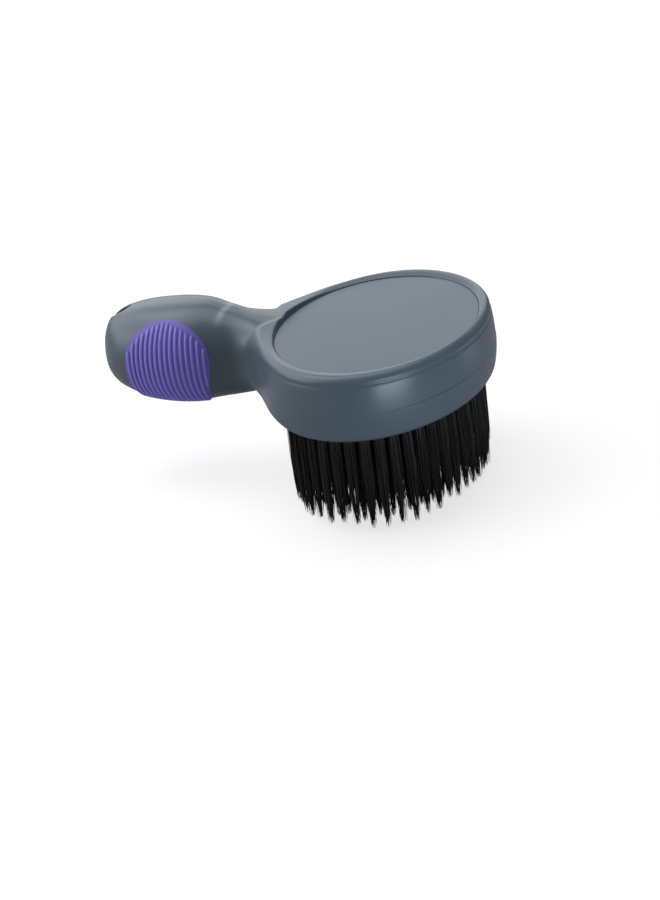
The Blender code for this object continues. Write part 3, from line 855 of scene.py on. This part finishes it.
tufts = {
    "rings": 6, "perStrip": 8, "halfLength": 32.0 * mm, "halfWidth": 45.0 * mm, "ringStep": 0.16,
    "centrePitch": 5.4 * mm,                            # the pair in the middle
    "root": 1.30 * mm, "fibres": 52, "fibreRadius": 0.14 * mm, "tipRadius": 0.05 * mm, "cuts": 5,
    "variants": 8, "scatter": 3.0 * mm, "inside": 2.5 * mm, "seed": 23,
    "turnStep": 2.39996,                                # golden angle from fibre to fibre
    "swell": (0.25, 0.55), "spread": 0.35, "pinch": (0.60, 1.05),      # how a clump widens and closes
    "wander": 0.35 * mm, "outerShort": 0.14, "anyShort": 0.06,
    "lean": 0.030, "leanScatter": 0.006, "samples": 2001,
}


def ringPlaces(fraction, count):
    # angles of tufts spaced evenly along one oval ring
    fine = np.linspace(0, 2 * math.pi, tufts["samples"])
    x, y = fraction * tufts["halfLength"] * np.cos(fine), fraction * tufts["halfWidth"] * np.sin(fine)
    run = np.concatenate([[0], np.cumsum(np.hypot(np.diff(x), np.diff(y)))])
    return list(np.interp((np.arange(count) + 0.5) / count * run[-1], run, fine))


def makeFibreMesh():
    # one straight fibre of unit length, hanging down from the origin
    bm = bmesh.new()
    bmesh.ops.create_cone(bm, cap_ends=True, segments=3, radius1=tufts["tipRadius"],
                          radius2=tufts["fibreRadius"], depth=1.0)
    bmesh.ops.translate(bm, verts=bm.verts, vec=(0, 0, -0.5))
    for k in range(1, tufts["cuts"] + 1):
        height = -(k / (tufts["cuts"] + 1)) ** 0.8
        cutAcross(bm, bm.verts[:] + bm.edges[:] + bm.faces[:], (0, 0, height), (0, 0, 1))
        width = tufts["fibreRadius"] * (1 - 0.25 * height ** 2)
        for vert in bm.verts:
            if abs(vert.co.z - height) < 1e-4:
                flat = Vector((vert.co.x, vert.co.y, 0)).normalized() * width
                vert.co = Vector((flat.x, flat.y, vert.co.z))
    mesh = bpy.data.meshes.new("fibre")
    bm.to_mesh(mesh)
    bm.free()
    return mesh


def makeTuftMesh(fibre, chance, length):
    # a clump that swells from its hole and draws to a ragged point
    bm = bmesh.new()
    tone = bm.verts.layers.float.new("tone")
    for k in range(tufts["fibres"]):
        before = len(bm.verts)
        bm.from_mesh(fibre)
        bm.verts.ensure_lookup_table()
        spread = math.sqrt((k + 0.5) / tufts["fibres"])
        angle = tufts["turnStep"] * k + chance.uniform(-0.3, 0.3)
        root = Vector((math.cos(angle), math.sin(angle))) * spread * tufts["root"]
        swell = chance.uniform(*tufts["swell"])
        pinch = chance.uniform(*tufts["pinch"])
        wander = Vector((chance.gauss(0, 1), chance.gauss(0, 1))) * tufts["wander"]
        own = length * (1 - tufts["outerShort"] * spread ** 2 * chance.random()
                        - tufts["anyShort"] * chance.random() ** 2)
        shade = chance.random() ** 2
        turn = Matrix.Rotation(chance.uniform(0, 6.28), 3, "Z")
        for vert in bm.verts[before:]:
            down = -vert.co.z
            flat = turn @ Vector((vert.co.x, vert.co.y, 0))
            bow = math.sin(math.pi * down ** 0.75)
            width = 1 + swell * bow + tufts["spread"] * down - pinch * down ** 5
            axis = root * width + wander * down ** 2
            vert.co = Vector((axis.x + flat.x, axis.y + flat.y, -down * own))
            vert[tone] = shade
    mesh = bpy.data.meshes.new("tuft")
    bm.to_mesh(mesh)
    bm.free()
    return mesh


def makeTufts():
    chance = random.Random(tufts["seed"])
    fibre = makeFibreMesh()
    startZ = blockLow.z + tufts["inside"]
    kinds = [makeTuftMesh(fibre, chance, startZ) for _ in range(tufts["variants"])]
    for ring in range(tufts["rings"] + 1):
        fraction = 1 - tufts["ringStep"] * ring
        strips = max(tufts["rings"] - ring, 1)
        flats = [ovalPlace(fraction * tufts["halfLength"], fraction * tufts["halfWidth"], angle)
                 for angle in ringPlaces(fraction, strips * tufts["perStrip"])]
        if ring == tufts["rings"]:
            flats = [Vector((0, side * tufts["centrePitch"] / 2)) for side in (-1, 1)]
        bm = bmesh.new()
        bm.verts.layers.float.new("tone")
        for flat in flats:
            before = len(bm.verts)
            bm.from_mesh(chance.choice(kinds))
            bm.verts.ensure_lookup_table()
            verts = bm.verts[before:]
            shorten = 1 - tufts["scatter"] * chance.random() ** 1.5 / startZ
            lean = flat / tufts["halfWidth"] * tufts["lean"] * fraction
            lean += Vector((chance.gauss(0, tufts["leanScatter"]), chance.gauss(0, tufts["leanScatter"])))
            shear = Matrix(((1, 0, -lean.x, 0), (0, 1, -lean.y, 0), (0, 0, shorten, 0), (0, 0, 0, 1)))
            turn = Matrix.Rotation(chance.uniform(0, 2 * math.pi), 4, "Z")
            place = Matrix.Translation((headX + flat.x, flat.y, startZ)) @ shear @ turn
            bmesh.ops.transform(bm, matrix=place, verts=verts)
        nodes = [f"tuft_strip_{ring + 1}{letter}" for letter in "abcdef"[:strips]]
        addPiece(f"tuftRing{ring + 1}", bm, blackFibre, nodes)
    for mesh in kinds + [fibre]:
        bpy.data.meshes.remove(mesh)


makeTufts()
print("tufts ready")

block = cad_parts["tuft_block"]
block.data.materials.clear()
block.data.materials.append(darkBlock)


studio = {"floor": (0.34, 0.34, 0.34, 1), "floorSize": 6.0, "floorGlow": 0.72,
          "world": (0.92, 0.96, 1.0, 1), "worldLevel": 0.12, "aimZ": 0.04}
lamps = {
    "topSoft": {"place": (-0.10, 0.25, 1.20), "size": (1.2, 1.0), "power": 7.5, "tint": (1, 1, 1)},
    "leftSoft": {"place": (-0.90, 0.00, 0.80), "size": (1.4, 1.2), "power": 9.2, "tint": (0.97, 0.99, 1)},
    "frontSoft": {"place": (-0.90, -0.50, 0.40), "size": (0.9, 0.9), "power": 2.3, "tint": (0.97, 0.99, 1)},
    "backCard": {"place": (-0.45, 1.10, 0.45), "size": (1.3, 0.7), "power": 4.0, "tint": (0.97, 0.99, 1)},
    "wallCard": {"place": (0.25, -0.18, 0.035), "size": (0.14, 0.07), "power": 0.29, "tint": (0.78, 0.89, 1)},
    "farCard": {"place": (0.20, 0.10, 0.015), "size": (0.04, 0.04), "power": 0.007, "tint": (0.85, 0.92, 1)},
}
lens = {"azimuth": 24.10, "elevation": 24.99, "roll": 7.96, "aim": (0.0208, -0.0262, 0.0208),
        "distance": 0.65, "focal": 73.77}


def makeFloor():
    bm = bmesh.new()
    bmesh.ops.create_grid(bm, x_segments=1, y_segments=1, size=studio["floorSize"])
    mesh = bpy.data.meshes.new("floor")
    bm.to_mesh(mesh)
    bm.free()
    material = bpy.data.materials.new("paleFloor")
    material.use_nodes = True
    tree = material.node_tree
    shader = setInputs(tree.nodes["Principled BSDF"], Base_Color=studio["floor"], Roughness=0.9)
    shader.inputs["Emission Color"].default_value = (1, 1, 1, 1)
    seen = putNode(tree, "ShaderNodeLightPath").outputs["Is Camera Ray"]
    glow = mathNode(tree, "MULTIPLY", seen, studio["floorGlow"])
    tree.links.new(glow, shader.inputs["Emission Strength"])
    mesh.materials.append(material)
    floor = bpy.data.objects.new("floor", mesh)
    bpy.context.scene.collection.objects.link(floor)


def makeLamps():
    target = Vector((headX, 0, studio["aimZ"]))
    for name, look in lamps.items():
        lamp = bpy.data.lights.new(name, "AREA")
        lamp.shape = "RECTANGLE"
        lamp.size, lamp.size_y = look["size"]
        lamp.energy = look["power"]
        lamp.color = look["tint"]
        holder = bpy.data.objects.new(name, lamp)
        holder.location = look["place"]
        holder.visible_camera = False
        holder.rotation_euler = (target - Vector(look["place"])).to_track_quat("-Z", "Y").to_euler()
        bpy.context.scene.collection.objects.link(holder)
    world = bpy.data.worlds.new("studio")
    world.use_nodes = True
    setInputs(world.node_tree.nodes["Background"], Color=studio["world"], Strength=studio["worldLevel"])
    bpy.context.scene.world = world


def makeCamera():
    side, rise, roll = [math.radians(lens[key]) for key in ("azimuth", "elevation", "roll")]
    right = Vector((math.cos(side), math.sin(side), 0))
    up = Vector((-math.sin(side) * math.sin(rise), math.cos(side) * math.sin(rise), math.cos(rise)))
    back = Vector((math.sin(side) * math.cos(rise), -math.cos(side) * math.cos(rise), math.sin(rise)))
    turnedRight = right * math.cos(roll) - up * math.sin(roll)
    turnedUp = right * math.sin(roll) + up * math.cos(roll)
    camera = bpy.data.cameras.new("studioCamera")
    camera.lens = lens["focal"]
    holder = bpy.data.objects.new("studioCamera", camera)
    place = Vector(lens["aim"]) + back * lens["distance"]
    turn = Matrix((turnedRight, turnedUp, back)).transposed().to_4x4()
    holder.matrix_world = Matrix.Translation(place) @ turn
    bpy.context.scene.collection.objects.link(holder)
    bpy.context.scene.camera = holder


makeFloor()
makeLamps()
makeCamera()
bpy.context.scene.view_settings.view_transform = "Standard"
print("studio ready")
